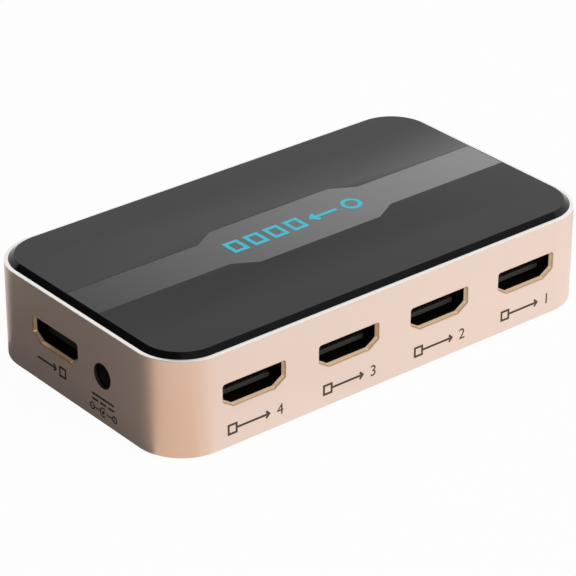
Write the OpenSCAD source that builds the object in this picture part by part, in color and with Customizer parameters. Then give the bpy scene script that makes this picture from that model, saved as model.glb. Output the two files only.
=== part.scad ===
// Video splitter: one input socket and a row of output sockets in a shallow metal case.
// Millimetres, +Z up. The origin is the centre of the footprint, on the surface that the
// feet stand on. The outputs face -Y; the input and the power jack face -X.

/* [Case] */
// Length of the case along X
case_l = 105.1; // [101:0.1:130]
// Depth of the case along Y
case_w = 59.3; // [56:0.1:80]
// Height of the case from its bottom edge to its rim
case_h = 20.15; // [19.5:0.05:30]
// Radius of the upright corners
corner_r = 10.15; // [6:0.05:11]
// Thickness of the side walls
wall_t = 1.1; // [0.8:0.1:1.6]
// Thickness of the deck under the top panel
deck_t = 1.2; // [0.8:0.1:2]
// Chamfer round the rim
rim_chamfer = 0.1; // [0.05:0.05:0.3]
// Flat land between the chamfer and the panel's pocket
rim_land = 0.7; // [0.3:0.05:0.8]

/* [Top panel] */
// Depth of the pocket that the panel sits in
pocket_depth = 1; // [0.6:0.1:1.4]
// Gap between the panel's edge and the pocket
panel_gap = 0.05; // [0.02:0.01:0.15]
// Thickness of the adhesive sheet under the panel
adhesive_t = 0.15; // [0.05:0.05:0.3]
// Distance from the panel's edge to the adhesive sheet's edge
adhesive_inset = 1.5; // [0.5:0.5:4]
// Width of the panel's bevel, seen from above
bevel_run = 1.15; // [0.8:0.05:3]
// Height of the panel's bevel above the rim
bevel_rise = 0.95; // [0.3:0.05:1.2]

/* [Stripe] */
// Width of the stripe's narrow ends
stripe_end_w = 10; // [6:0.5:14]
// Width of the stripe's broad middle
stripe_mid_w = 15.8; // [14.5:0.1:24]
// Length of the broad middle at its full width
stripe_mid_l = 29.8; // [20:0.1:50]
// Length of each slanted step between narrow and broad
stripe_step_l = 5.2; // [2:0.1:10]
// Offset of the broad middle along X
stripe_mid_x = 0.3; // [-5:0.1:5]
// Distance from the edge of the panel's flat top to the stripe's ends
stripe_end_gap = 0.15; // [0.1:0.05:3]
// Thickness of the stripe's foil
stripe_t = 0.15; // [0.1:0.05:0.3]
// Gap round the stripe in its recess
stripe_gap = 0.03; // [0.02:0.01:0.1]

/* [Bottom cover] */
// Thickness of the bottom cover
cover_t = 1.5; // [1.2:0.1:2]
// Gap between the cover and the case wall
cover_gap = 0.15; // [0.1:0.05:0.3]
// Thickness of the cover's upright lip
lip_t = 0.9; // [0.6:0.1:1.2]
// Height of the cover's upright lip above its plate
lip_h = 2; // [1:0.5:3]

/* [Feet] */
// Radius of a rubber foot
foot_r = 4; // [3:0.5:6]
// Height that a foot stands out of the cover
foot_h = 1; // [0.5:0.1:3]
// Depth of the recess that holds a foot
foot_recess = 0.4; // [0.2:0.1:0.6]
// Gap round a foot in its recess
foot_gap = 0.1; // [0.05:0.05:0.2]
// Chamfer round a foot's lower edge
foot_chamfer = 0.3; // [0.1:0.1:0.4]
// Distance of the feet from the centre along X
foot_x = 36; // [20:1:40]
// Distance of the feet from the centre along Y
foot_y = 17; // [8:1:18]

/* [Screws] */
// Radius of a cover screw's shank
cover_screw_r = 1.2; // [1:0.1:1.4]
// Length of a cover screw from its head's outer face
cover_screw_l = 8; // [5:0.5:12]
// Radius of a cover screw's countersunk head
cover_head_r = 2.2; // [2:0.1:2.4]
// Radius of the case's bosses for the cover screws
boss_r = 2.8; // [2.4:0.1:3.2]
// Distance from the inner wall to a boss's centre
boss_inset = 5.6; // [5.4:0.1:7]
// Radius of a board screw's shank
board_screw_r = 0.95; // [0.8:0.05:1.2]
// Length of a board screw's shank
board_screw_l = 6; // [4:0.5:8]
// Radius of a board screw's pan head
board_head_r = 1.9; // [1.7:0.1:2.2]
// Height of a board screw's pan head
board_head_h = 1.2; // [0.8:0.1:1.6]
// Radius of the posts that the board is screwed to
post_r = 2.4; // [2:0.1:3]
// Distance of the posts from the centre along X
post_x = 22; // [18:0.5:26]
// Place of the front posts along Y
post_front_y = -11; // [-13:0.5:-9]
// Place of the rear posts along Y
post_rear_y = 21; // [19:0.5:23]
// Gap round a screw's shank in the hole that it passes through
screw_gap = 0.15; // [0.1:0.05:0.3]
// Gap round a screw's shank in the hole that it is driven into
thread_gap = 0.05; // [0.03:0.01:0.1]
// Room left past a screw's end in its blind hole
blind_room = 1; // [0.5:0.5:2]
// Depth of the cross cut in a screw head
drive_depth = 0.6; // [0.3:0.1:0.7]
// Width of the cross cut in a screw head
drive_w = 0.5; // [0.3:0.1:0.6]
// Length of each arm of the cross cut
drive_arm = 1.1; // [0.8:0.1:1.4]

/* [Circuit board] */
// Thickness of the circuit board
board_t = 1.6; // [1.2:0.1:2]
// Height of the board's top face above the case's bottom edge
board_h = 8.3; // [7.5:0.1:9]
// Gap between the board's edge and the case wall
board_gap = 0.4; // [0.2:0.1:0.8]
// Gap round a boss, leg or jack that passes through the board
board_hole_gap = 0.2; // [0.1:0.05:0.4]

/* [Video sockets] */
// Distance between neighbouring output sockets
out_pitch = 22.6; // [19:0.1:23]
// Offset of the row of output sockets along X
out_row_x = 0.25; // [-2:0.05:2]
// Place of the input socket along Y
in_y = 6.45; // [6:0.05:10]
// Outer width of a socket shell
shell_w = 14.65; // [14:0.05:15.5]
// Outer height of a socket shell
shell_h = 5.2; // [5:0.05:5.8]
// Width that each slanted lower side takes off the shell's underside
shell_slope_w = 2.5; // [1.5:0.1:3]
// Height of each slanted lower side
shell_slope_h = 1.6; // [1:0.1:2]
// Radius of the shell's outer bends
shell_bend_r = 0.6; // [0.4:0.05:0.8]
// Thickness of the shell's sheet
shell_t = 0.35; // [0.25:0.05:0.45]
// Length of the shell
shell_l = 11.2; // [10.6:0.1:13]
// Gap between a shell and its hole in the case
socket_gap = 0.08; // [0.05:0.01:0.2]
// Distance from the case's outer face back to a shell's mouth
mouth_set = 0.1; // [0:0.05:0.5]
// Width of a shell's solder leg
leg_w = 1.2; // [0.8:0.1:1.6]
// Length of a solder leg below the board
leg_out = 0.6; // [0.3:0.1:1.2]
// Distance from the shell's mouth to its front legs
leg_front = 3; // [2.5:0.1:4]
// Distance between the front legs and the rear legs
leg_spacing = 5.5; // [4:0.1:6.5]

/* [Socket insides] */
// Width of the insulator's tongue
tongue_w = 11; // [10.4:0.1:11.6]
// Thickness of the tongue
tongue_t = 1; // [0.8:0.05:1.2]
// Height of the tongue's underside above the shell's underside
tongue_h = 1.4; // [1.2:0.05:2]
// Distance from the shell's mouth to the tongue's tip
tongue_set = 2.5; // [1.8:0.1:3.5]
// Length of the insulator's rear block
block_l = 2.6; // [2:0.1:3]
// Gap between the block and the shell
block_gap = 0.05; // [0.03:0.01:0.1]
// Distance from the block's rear face to the shell's rear edge
block_set = 0.2; // [0.1:0.1:0.6]
// Distance between neighbouring contacts in one row
contact_pitch = 1; // [0.9:0.05:1.05]
// Width of a contact
contact_w = 0.3; // [0.2:0.05:0.4]
// Thickness of a contact
contact_t = 0.15; // [0.1:0.05:0.2]
// Distance from the tongue's tip to the contacts' ends
contact_set = 0.4; // [0.2:0.1:1]
// Gap between the shell's rear edge and the contacts' drop to the board
lead_set = 0.15; // [0.1:0.05:0.4]
// Length of a contact's foot on the board
lead_foot = 0.9; // [0.5:0.1:1.5]

/* [Socket springs] */
// Width of a spring finger
finger_w = 1.8; // [1.2:0.1:2.4]
// Length of a spring finger
finger_l = 5.2; // [4:0.1:5.2]
// Thickness of a spring finger
finger_t = 0.25; // [0.15:0.05:0.25]
// Distance of each finger from the socket's centre
finger_u = 3.6; // [2.5:0.1:4.2]
// Distance from the shell's mouth to the fingers' tips
finger_set = 2.9; // [2.6:0.1:3.1]
// Gap round a finger in the shell
finger_gap = 0.3; // [0.2:0.05:0.4]
// Gap between a finger's root and the shell
root_gap = 0.12; // [0.08:0.02:0.2]
// Distance that a finger's bump stands inside the shell
finger_dent = 0.35; // [0.2:0.05:0.5]
// Radius of a finger's bump
bump_r = 0.6; // [0.5:0.05:0.8]

/* [Power jack] */
// Place of the power jack along Y
dc_y = -8.55; // [-9.2:0.05:-8]
// Height of the jack's axis above the case's bottom edge
dc_h = 10.15; // [9.6:0.05:10.6]
// Radius of the jack's hole in the case
dc_hole_r = 2.6; // [2.4:0.05:3]
// Width of the jack's body
jack_w = 8; // [7:0.1:8.4]
// Height of the jack's body above its axis
jack_top = 3.2; // [3:0.1:4]
// Depth of the jack's body below its axis
jack_bottom = 2.9; // [2.6:0.1:3.3]
// Length of the jack's body
jack_l = 11; // [10.4:0.1:13]
// Gap between the case's inner face and the jack's front
jack_set = 0.1; // [0.05:0.05:0.3]
// Radius of the guide at the jack's mouth
guide_r = 2.4; // [2.3:0.05:2.55]
// Length of the guide at the jack's mouth
guide_l = 2.2; // [1.5:0.1:2.4]
// Radius of the jack's bore behind the guide
jack_bore_r = 2.05; // [1.9:0.05:2.15]
// Depth of the jack's bore from its front
jack_bore_l = 9; // [8:0.1:9.4]
// Radius of the jack's centre pin
pin_r = 0.82; // [0.6:0.02:1]
// Distance from the jack's front to the pin's tip
pin_set = 2.6; // [2.5:0.1:4]
// Gap round the pin where it passes through the jack's rear wall
pin_gap = 0.03; // [0.02:0.01:0.05]
// Radius of the pin's riveted end
rivet_r = 1.3; // [1.1:0.1:1.5]
// Height of the pin's riveted end
rivet_h = 0.5; // [0.3:0.1:0.8]
// Thickness of the jack's terminals
terminal_t = 0.3; // [0.2:0.05:0.5]
// Width of the jack's terminals
terminal_w = 2.4; // [1.8:0.1:2.6]
// Length of a terminal's foot on the board
terminal_foot = 2; // [1:0.1:3]
// Width of the ears that rest on the board beside the jack
ear_w = 1.2; // [0.6:0.1:1.4]
// Thickness of the ears
ear_t = 0.8; // [0.5:0.1:1.2]
// Width of the jack's spring leaf
leaf_w = 2.2; // [1.6:0.1:2.4]
// Thickness of the spring leaf
leaf_t = 0.3; // [0.2:0.05:0.35]
// Length of the spring leaf
leaf_l = 5.6; // [4.5:0.1:5.6]
// Distance from the jack's front to the leaf's tip
leaf_set = 3; // [2.8:0.1:3.2]
// Gap round the leaf in the jack
leaf_gap = 0.25; // [0.2:0.05:0.3]
// Distance that the leaf's bump stands inside the bore
leaf_dent = 0.35; // [0.2:0.05:0.45]
// Radius of the leaf's bump
leaf_bump_r = 0.8; // [0.6:0.1:1]

/* [Chips] */
// Width of the splitter chip's square body
chip_w = 14; // [10:0.5:14]
// Thickness of the splitter chip's body
chip_t = 1.4; // [1:0.1:1.8]
// Gap between a chip's body and the board
chip_lift = 0.1; // [0.05:0.05:0.2]
// Place of the splitter chip along Y
chip_y = 5; // [3:0.5:7]
// Distance between the splitter chip's leads
lead_pitch = 0.8; // [0.65:0.05:0.8]
// Width of a chip lead
lead_w = 0.35; // [0.2:0.05:0.4]
// Thickness of a chip lead
lead_t = 0.15; // [0.1:0.05:0.2]
// Reach of a chip lead beyond the body
lead_reach = 1; // [0.8:0.1:1.4]
// Distance from a chip's side to the knee of its leads
lead_knee = 0.35; // [0.2:0.05:0.5]
// Bare margin at each end of the splitter chip's rows of leads
lead_margin = 0.5; // [0.3:0.1:1]
// Thickness of the thermal pad on the splitter chip
pad_t = 0.5; // [0.3:0.1:1]
// Width of the heat sink
sink_w = 20; // [14:0.5:22]
// Thickness of the heat sink's base
sink_base_t = 1.5; // [1:0.1:2]
// Height of the heat sink's fins above its base
fin_h = 4; // [2:0.5:5]
// Thickness of a fin
fin_t = 1; // [0.6:0.1:1.2]
// Distance between fins
fin_pitch = 2.7; // [2.2:0.1:4]
// Length of a small chip's body
small_chip_l = 5; // [4:0.5:6]
// Width of a small chip's body
small_chip_w = 4; // [3:0.5:4.5]
// Thickness of a small chip's body
small_chip_t = 1.5; // [1:0.1:1.8]
// Distance between a small chip's leads
small_pitch = 1.27; // [1:0.01:1.27]
// Distance from the board's +X edge to the control chip
control_set = 27; // [20:0.5:30]
// Distance between the control chip and its memory
control_pitch = 12; // [9:0.5:14]
// Place of the control chip along Y
control_y = 6; // [4:0.5:8]
// Distance from the control chip to each of its rows of small parts
control_row_gap = 8; // [6:0.5:9]
// Distance that those rows start before the control chip's centre
control_row_lead = 4; // [2:0.5:5]

/* [Power parts] */
// Length of a voltage regulator's body
reg_l = 6.5; // [5:0.1:7]
// Width of a voltage regulator's body
reg_w = 3.5; // [3:0.1:4]
// Thickness of a voltage regulator's body
reg_t = 1.7; // [1.2:0.1:2]
// Distance between a regulator's leads
reg_pitch = 2.3; // [1.8:0.1:2.4]
// Width of a regulator's lead
reg_lead_w = 0.7; // [0.4:0.1:1]
// Width of a regulator's cooling tab
reg_tab_w = 3.2; // [2:0.1:4]
// Distance from the jack's front to the regulators
reg_set = 30; // [27:0.5:32]
// Width of the power inductor
coil_w = 5; // [4:0.5:6]
// Height of the power inductor
coil_h = 3.2; // [2.6:0.1:5]
// Height of the power inductor's square base
coil_base_h = 1.6; // [0.8:0.1:2]
// Radius of the power inductor's round top
coil_r = 2.2; // [1.5:0.1:2.8]
// Distance from the jack's rear to the inductor's centre
coil_set = 9; // [6:0.5:10]
// Place of the inductor along Y
coil_y = -5.5; // [-6:0.5:-4]
// Radius of an electrolytic capacitor
can_r = 3.1; // [2.5:0.1:3.2]
// Height of an electrolytic capacitor's can
can_h = 6.5; // [4:0.5:7.5]
// Height of the base under a capacitor's can
can_base_h = 0.8; // [0.5:0.1:1.2]
// Width of the base under a capacitor's can
can_base_w = 6.6; // [6.5:0.1:7]
// Distance of the capacitors from the centre along X
can_x = 11.5; // [11:0.5:14]
// Place of the capacitors along Y
can_y = 21; // [20:0.5:22]
// Length of the crystal's can
crystal_l = 11; // [8:0.5:11]
// Width of the crystal's can
crystal_w = 4.5; // [3:0.1:5]
// Height of the crystal's can
crystal_h = 3.5; // [2:0.1:4]
// Place of the crystal along Y
crystal_y = 22; // [19:0.5:23]
// Length of a small resistor or capacitor
chip_part_l = 1.6; // [1:0.1:2]
// Width of a small resistor or capacitor
chip_part_w = 0.8; // [0.5:0.1:1.2]
// Height of a small resistor or capacitor
chip_part_h = 0.6; // [0.3:0.05:1]
// Distance between small parts in a row
chip_part_pitch = 1.8; // [1.6:0.1:2.2]
// Distance from the jack's front to the input's row of small parts
input_row_set = 19; // [18:0.5:21]
// Place of the input's row of small parts along Y
input_row_y = 13.5; // [13:0.5:16]
// Place of the splitter chip's row of small parts along Y
chip_row_y = -11; // [-12:0.5:-8]
// Length of a surge arrester behind a socket
surge_l = 2.5; // [2:0.1:3]
// Width of a surge arrester
surge_w = 1.2; // [0.8:0.1:1.6]
// Height of a surge arrester
surge_h = 0.6; // [0.4:0.05:1]
// Distance from a socket's lead feet to its surge arresters
surge_set = 2.4; // [1.6:0.1:4]
// Distance of each surge arrester from its socket's centre
surge_u = 2.5; // [1.8:0.1:4]

/* [Hidden] */
$fn = 64;
// Overshoot of a cut past the face that it opens
cut = 1;

base_z = foot_h;
rim_z = base_z + case_h;
pocket_z = rim_z - pocket_depth;
deck_z = pocket_z - deck_t;
pocket_inset = rim_chamfer + rim_land;
panel_inset = pocket_inset + panel_gap;
panel_l = case_l - 2 * panel_inset;
panel_w = case_w - 2 * panel_inset;
panel_r = corner_r - panel_inset;
panel_z = pocket_z + adhesive_t;
top_z = rim_z + bevel_rise;
stripe_half_l = panel_l / 2 - bevel_run - stripe_end_gap;
cavity_l = case_l - 2 * wall_t;
cavity_w = case_w - 2 * wall_t;
cavity_r = corner_r - wall_t;
cover_inset = wall_t + cover_gap;
cover_l = case_l - 2 * cover_inset;
cover_w = case_w - 2 * cover_inset;
cover_r = corner_r - cover_inset;
cover_top_z = base_z + cover_t;
board_top_z = base_z + board_h;
board_z = board_top_z - board_t;
board_l = cavity_l - 2 * board_gap;
board_w = cavity_w - 2 * board_gap;
board_r = cavity_r - board_gap;
dc_z = base_z + dc_h;
cover_head_h = cover_head_r - cover_screw_r;
sink_z = board_top_z + chip_lift + chip_t + pad_t;

// The front bosses stand between the output sockets, the rear ones in the corners
boss_places = concat(
    [for (sx = [-1, 1]) [out_row_x + sx * out_pitch, boss_inset - cavity_w / 2]],
    [for (sx = [-1, 1]) [sx * (cavity_l / 2 - boss_inset), cavity_w / 2 - boss_inset]]);
foot_places = [for (sx = [-1, 1], sy = [-1, 1]) [sx * foot_x, sy * foot_y]];
post_places = [for (sx = [-1, 1], y = [post_front_y, post_rear_y]) [sx * post_x, y]];

// The sockets in order: outputs from the +X end, then the input
SOCKETS = ["output_1", "output_2", "output_3", "output_4", "input"];
out_count = len(SOCKETS) - 1;
contacts_above = 10;
contacts_below = 9;
reg_leads = 3;
reg_rows = [9, 1];
block_y = shell_l - block_set - block_l;
lead_y = shell_l + lead_set;
finger_z = shell_h - shell_t / 2 - finger_t / 2;
jack_x = -case_l / 2 + wall_t + jack_set;
leaf_z = jack_bore_r + leaf_gap;

// Places of the parts on the board, [x, y]: the power parts keep their distance from the jack,
// the control parts theirs from the board's +X edge, and the rest stand round the splitter chip
reg_places = [for (y = reg_rows) [jack_x + reg_set, y]];
coil_place = [jack_x + jack_l + coil_set, coil_y];
can_places = [for (sx = [-1, 1]) [sx * can_x, can_y]];
crystal_place = [0, crystal_y];
small_chip_places = [for (k = [0, 1]) [board_l / 2 - control_set + k * control_pitch, control_y]];
// Rows of small parts, [x of the first, y, how many]
input_row = [jack_x + input_row_set, input_row_y, 4];
chip_row = [-3 * chip_part_pitch, chip_row_y, 7];
control_rows = [for (sy = [-1, 1])
    [board_l / 2 - control_set - control_row_lead, control_y + sy * control_row_gap, 7]];
chip_part_rows = concat([input_row, chip_row], control_rows);

// Shapes that repeat

// Outline of a rectangle with round corners
module round_rect(l, w, r) {
    square([l - 2 * r, w], center = true);
    square([l, w - 2 * r], center = true);
    for (sx = [-1, 1], sy = [-1, 1])
        translate([sx * (l / 2 - r), sy * (w / 2 - r)]) circle(r);
}

// Slab with upright sides and round corners, standing on z
module round_slab(l, w, r, z, h) {
    translate([0, 0, z]) linear_extrude(h) round_rect(l, w, r);
}

// Slab with upright sides, round corners and a bevel round its top, standing on z
module bevelled_slab(l, w, r, z, h, run, rise) {
    translate([0, 0, z]) {
        for (sx = [-1, 1], sy = [-1, 1])
            translate([sx * (l / 2 - r), sy * (w / 2 - r), 0]) rotate_extrude()
                polygon([[0, 0], [r, 0], [r, h - rise], [r - run, h], [0, h]]);
        rotate([90, 0, 90]) linear_extrude(l - 2 * r, center = true) bevelled_section(w, h, run, rise);
        rotate([90, 0, 0]) linear_extrude(w - 2 * r, center = true) bevelled_section(l, h, run, rise);
    }
}

// Upright section of a bevelled slab
module bevelled_section(w, h, run, rise) {
    polygon([
        [-w / 2, 0], [w / 2, 0], [w / 2, h - rise], [w / 2 - run, h], [run - w / 2, h],
        [-w / 2, h - rise]]);
}

// Box from one corner to the opposite one
module span(low, high) {
    translate(low) cube(high - low);
}

// Box centred on a place on the board, standing on z
module standing_box(place, size, z) {
    translate([place[0] - size[0] / 2, place[1] - size[1] / 2, z]) cube(size);
}

// Upright cylinder at a place, standing on z
module standing_rod(place, r, z, h) {
    translate([place[0], place[1], z]) cylinder(h = h, r = r);
}

// Cross cut for a screwdriver, cut upward into a head whose face is at z
module cross_cut(z) {
    for (turn = [0, 90])
        rotate(turn) translate([-drive_arm, -drive_w / 2, z - cut])
            cube([2 * drive_arm, drive_w, drive_depth + cut]);
}

// Outline of the stripe on the top panel, grown by a gap for its recess
module stripe_outline(gap) {
    half = [
        [-stripe_half_l - gap, stripe_end_w / 2 + gap],
        [stripe_mid_x - stripe_mid_l / 2 - stripe_step_l, stripe_end_w / 2 + gap],
        [stripe_mid_x - stripe_mid_l / 2, stripe_mid_w / 2 + gap],
        [stripe_mid_x + stripe_mid_l / 2, stripe_mid_w / 2 + gap],
        [stripe_mid_x + stripe_mid_l / 2 + stripe_step_l, stripe_end_w / 2 + gap],
        [stripe_half_l + gap, stripe_end_w / 2 + gap]];
    polygon(concat(half, [for (i = [len(half) - 1:-1:0]) [half[i][0], -half[i][1]]]));
}

// Outline of a socket shell, grown by a distance: flat top, slanted lower sides, bent corners
module shell_outline(grow) {
    offset(r = shell_bend_r + grow, $fn = 32) offset(delta = -shell_bend_r)
        polygon([
            [-shell_w / 2, shell_h], [-shell_w / 2, shell_slope_h],
            [shell_slope_w - shell_w / 2, 0], [shell_w / 2 - shell_slope_w, 0],
            [shell_w / 2, shell_slope_h], [shell_w / 2, shell_h]]);
}

// Prism of a socket outline that runs back from a depth behind the shell's mouth
module socket_prism(grow, depth, l) {
    translate([0, depth + l, 0]) rotate([90, 0, 0]) linear_extrude(l) shell_outline(grow);
}

// Puts a socket's parts in place: y runs in from the mouth, z up from the shell's underside
module at_socket(k) {
    if (k < out_count)
        translate([out_row_x + ((out_count - 1) / 2 - k) * out_pitch, mouth_set - case_w / 2, board_top_z])
            children();
    else
        translate([mouth_set - case_l / 2, in_y, board_top_z]) rotate(-90) children();
}

// A contact of one row: along the tongue, back through the block and down to the board
module contact(z) {
    tip = tongue_set + contact_set;
    rotate([90, 0, 90]) linear_extrude(contact_w, center = true)
        polygon([
            [tip, z], [tip, z + contact_t], [lead_y + contact_t, z + contact_t],
            [lead_y + contact_t, contact_t], [lead_y + lead_foot, contact_t],
            [lead_y + lead_foot, 0], [lead_y, 0], [lead_y, z]]);
}

// Both rows of contacts of one socket
module contact_rows() {
    for (i = [0:contacts_above - 1])
        translate([(i - (contacts_above - 1) / 2) * contact_pitch, 0, 0])
            contact(tongue_h + tongue_t);
    for (i = [0:contacts_below - 1])
        translate([(i - (contacts_below - 1) / 2) * contact_pitch, 0, 0])
            contact(tongue_h - contact_t);
}

// Places of a shell's solder legs, as [x, y] of the leg's centre
leg_places = [for (sx = [-1, 1], y = [leg_front, leg_front + leg_spacing])
    [sx * (shell_w - shell_t) / 2, y]];

// A gull-wing lead: out of a body's side at height z, down, and out along the board
module gull_lead(z, w) {
    rotate([90, 0, 90]) linear_extrude(w, center = true)
        polygon([
            [0, z], [0, z + lead_t], [lead_knee + lead_t, z + lead_t], [lead_knee + lead_t, lead_t],
            [lead_reach, lead_t], [lead_reach, 0], [lead_knee, 0], [lead_knee, z]]);
}

// A row of gull-wing leads along X, pointing to +Y
module lead_row(count, pitch, z, w) {
    for (i = [0:count - 1])
        translate([(i - (count - 1) / 2) * pitch, 0, 0]) gull_lead(z, w);
}

// Case

// One-piece shell: side walls, deck, the panel's pocket, bosses, posts and the port holes
module case() {
    color([0.93, 0.8, 0.74]) difference() {
        bevelled_slab(case_l, case_w, corner_r, base_z, case_h, rim_chamfer, rim_chamfer);
        round_slab(case_l - 2 * pocket_inset, case_w - 2 * pocket_inset, corner_r - pocket_inset,
                   pocket_z, pocket_depth + cut);
        difference() {
            round_slab(cavity_l, cavity_w, cavity_r, base_z - cut, deck_z - base_z + cut);
            for (p = boss_places) standing_rod(p, boss_r, cover_top_z, deck_z - cover_top_z + cut);
            for (p = post_places) standing_rod(p, post_r, board_top_z, deck_z - board_top_z + cut);
        }
        for (p = boss_places)
            standing_rod(p, cover_screw_r + thread_gap, cover_top_z - cut,
                         base_z + cover_screw_l + blind_room - cover_top_z + cut);
        for (p = post_places)
            standing_rod(p, board_screw_r + thread_gap, board_top_z - cut,
                         board_screw_l - board_t + blind_room + cut);
        for (k = [0:out_count]) at_socket(k) socket_prism(socket_gap, -mouth_set - cut, wall_t + 2 * cut);
        translate([-case_l / 2 - cut, dc_y, dc_z]) rotate([0, 90, 0])
            cylinder(h = wall_t + 2 * cut, r = dc_hole_r);
    }
}

// Gloss panel in the case's pocket, with a bevelled edge and a recess for the stripe
module top_panel() {
    color([0.16, 0.16, 0.17]) difference() {
        bevelled_slab(panel_l, panel_w, panel_r, panel_z, top_z - panel_z, bevel_run, bevel_rise);
        translate([0, 0, top_z - stripe_t]) linear_extrude(stripe_t + cut) stripe_outline(stripe_gap);
    }
}

// Grey foil stripe, flush with the panel's top
module stripe_inlay() {
    color([0.45, 0.45, 0.46])
        translate([0, 0, top_z - stripe_t]) linear_extrude(stripe_t) stripe_outline(0);
}

// Double-sided adhesive sheet between the deck and the panel
module panel_adhesive() {
    color([0.9, 0.9, 0.85])
        round_slab(panel_l - 2 * adhesive_inset, panel_w - 2 * adhesive_inset,
                   panel_r - adhesive_inset, pocket_z, adhesive_t);
}

// Plate that closes the case from below, with a lip inside the walls
module bottom_cover() {
    color([0.2, 0.2, 0.21]) difference() {
        union() {
            round_slab(cover_l, cover_w, cover_r, base_z, cover_t);
            difference() {
                round_slab(cover_l, cover_w, cover_r, base_z, cover_t + lip_h);
                round_slab(cover_l - 2 * lip_t, cover_w - 2 * lip_t, cover_r - lip_t,
                           base_z, cover_t + lip_h + cut);
            }
        }
        for (p = boss_places) translate([p[0], p[1], base_z]) {
            translate([0, 0, -cut]) cylinder(h = cover_t + 2 * cut, r = cover_screw_r + screw_gap);
            cylinder(h = cover_head_h, r1 = cover_head_r + screw_gap, r2 = cover_screw_r + screw_gap);
        }
        for (p = foot_places) standing_rod(p, foot_r + foot_gap, base_z - cut, foot_recess + cut);
    }
}

// Countersunk screws that hold the cover to the case's bosses
module cover_screws() {
    color([0.6, 0.6, 0.62]) for (p = boss_places) translate([p[0], p[1], base_z]) difference() {
        union() {
            cylinder(h = cover_head_h, r1 = cover_head_r, r2 = cover_screw_r);
            cylinder(h = cover_screw_l, r = cover_screw_r);
        }
        cross_cut(0);
    }
}

// Stick-on feet in the cover's recesses
module rubber_feet() {
    color([0.1, 0.1, 0.1]) for (p = foot_places) translate([p[0], p[1], 0]) {
        cylinder(h = foot_chamfer, r1 = foot_r - foot_chamfer, r2 = foot_r);
        translate([0, 0, foot_chamfer]) cylinder(h = foot_h + foot_recess - foot_chamfer, r = foot_r);
    }
}

// Circuit board with holes for bosses, screws and shell legs, and a notch for the jack
module circuit_board() {
    color([0.05, 0.3, 0.15]) difference() {
        round_slab(board_l, board_w, board_r, board_z, board_t);
        for (p = boss_places) standing_rod(p, boss_r + board_hole_gap, board_z - cut, board_t + 2 * cut);
        for (p = post_places)
            standing_rod(p, board_screw_r + screw_gap, board_z - cut, board_t + 2 * cut);
        for (k = [0:out_count]) at_socket(k) for (p = leg_places)
            standing_box(p, [shell_t + 2 * board_hole_gap, leg_w + 2 * board_hole_gap, board_t + 2 * cut],
                         -board_t - cut);
        span([jack_x - cut, dc_y - jack_w / 2 - board_hole_gap, board_z - cut],
             [jack_x + jack_l + board_hole_gap, dc_y + jack_w / 2 + board_hole_gap, board_top_z + cut]);
    }
}

// Pan-head screws that hold the board up to the case's posts
module board_screws() {
    color([0.65, 0.65, 0.66]) for (p = post_places) translate([p[0], p[1], board_z]) difference() {
        union() {
            translate([0, 0, -board_head_h]) cylinder(h = board_head_h, r = board_head_r);
            cylinder(h = board_screw_l, r = board_screw_r);
        }
        cross_cut(-board_head_h);
    }
}

// Video sockets

// Bent sheet-metal shell with slots for the spring fingers and legs soldered into the board
module socket_shell(k) {
    color([0.85, 0.7, 0.45]) at_socket(k) {
        difference() {
            socket_prism(0, 0, shell_l);
            socket_prism(-shell_t, -cut, shell_l + 2 * cut);
            for (sx = [-1, 1])
                span([sx * finger_u - finger_w / 2 - finger_gap, finger_set - finger_gap,
                      shell_h - shell_t - cut],
                     [sx * finger_u + finger_w / 2 + finger_gap, finger_set + finger_l + root_gap,
                      shell_h + cut]);
        }
        for (p = leg_places)
            standing_box(p, [shell_t, leg_w, board_t + leg_out + shell_h / 2], -board_t - leg_out);
    }
}

// Moulded block at the back of the shell and the tongue that carries the contacts
module socket_insulator(k) {
    color([0.12, 0.12, 0.12]) at_socket(k) difference() {
        union() {
            socket_prism(-shell_t - block_gap, block_y, block_l);
            span([-tongue_w / 2, tongue_set, tongue_h],
                 [tongue_w / 2, block_y + block_l / 2, tongue_h + tongue_t]);
        }
        contact_rows();
    }
}

// Contacts above and below the tongue, with their feet on the board
module socket_contacts(k) {
    color([0.9, 0.75, 0.4]) at_socket(k) contact_rows();
}

// Pair of spring fingers in the shell's top that a plug lifts as it goes in
module socket_springs(k) {
    color([0.85, 0.7, 0.45]) at_socket(k) for (sx = [-1, 1]) {
        low = [sx * finger_u - finger_w / 2, finger_set, finger_z];
        span(low, low + [finger_w, finger_l, finger_t]);
        bump_z = shell_h - shell_t - finger_dent;
        intersection() {
            translate([low[0], finger_set + bump_r, bump_z + bump_r]) rotate([0, 90, 0])
                cylinder(h = finger_w, r = bump_r);
            span([low[0], finger_set, bump_z], low + [finger_w, finger_l, finger_t]);
        }
    }
}

// Power jack

// Moulded jack body sunk into the board's notch, with ears that rest on the board
module jack_body() {
    color([0.1, 0.1, 0.1]) translate([jack_x, dc_y, dc_z]) difference() {
        union() {
            span([0, -jack_w / 2, -jack_bottom], [jack_l, jack_w / 2, jack_top]);
            span([board_gap, -jack_w / 2 - ear_w, board_top_z - dc_z],
                 [jack_l, jack_w / 2 + ear_w, board_top_z - dc_z + ear_t]);
        }
        translate([-cut, 0, 0]) rotate([0, 90, 0]) cylinder(h = guide_l + cut, r = guide_r);
        rotate([0, 90, 0]) cylinder(h = jack_bore_l, r = jack_bore_r);
        rotate([0, 90, 0]) cylinder(h = jack_l + cut, r = pin_r + pin_gap);
        span([leaf_set - leaf_gap, -leaf_w / 2 - leaf_gap, 0],
             [leaf_set + leaf_l + root_gap, leaf_w / 2 + leaf_gap, jack_top + cut]);
    }
}

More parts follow.
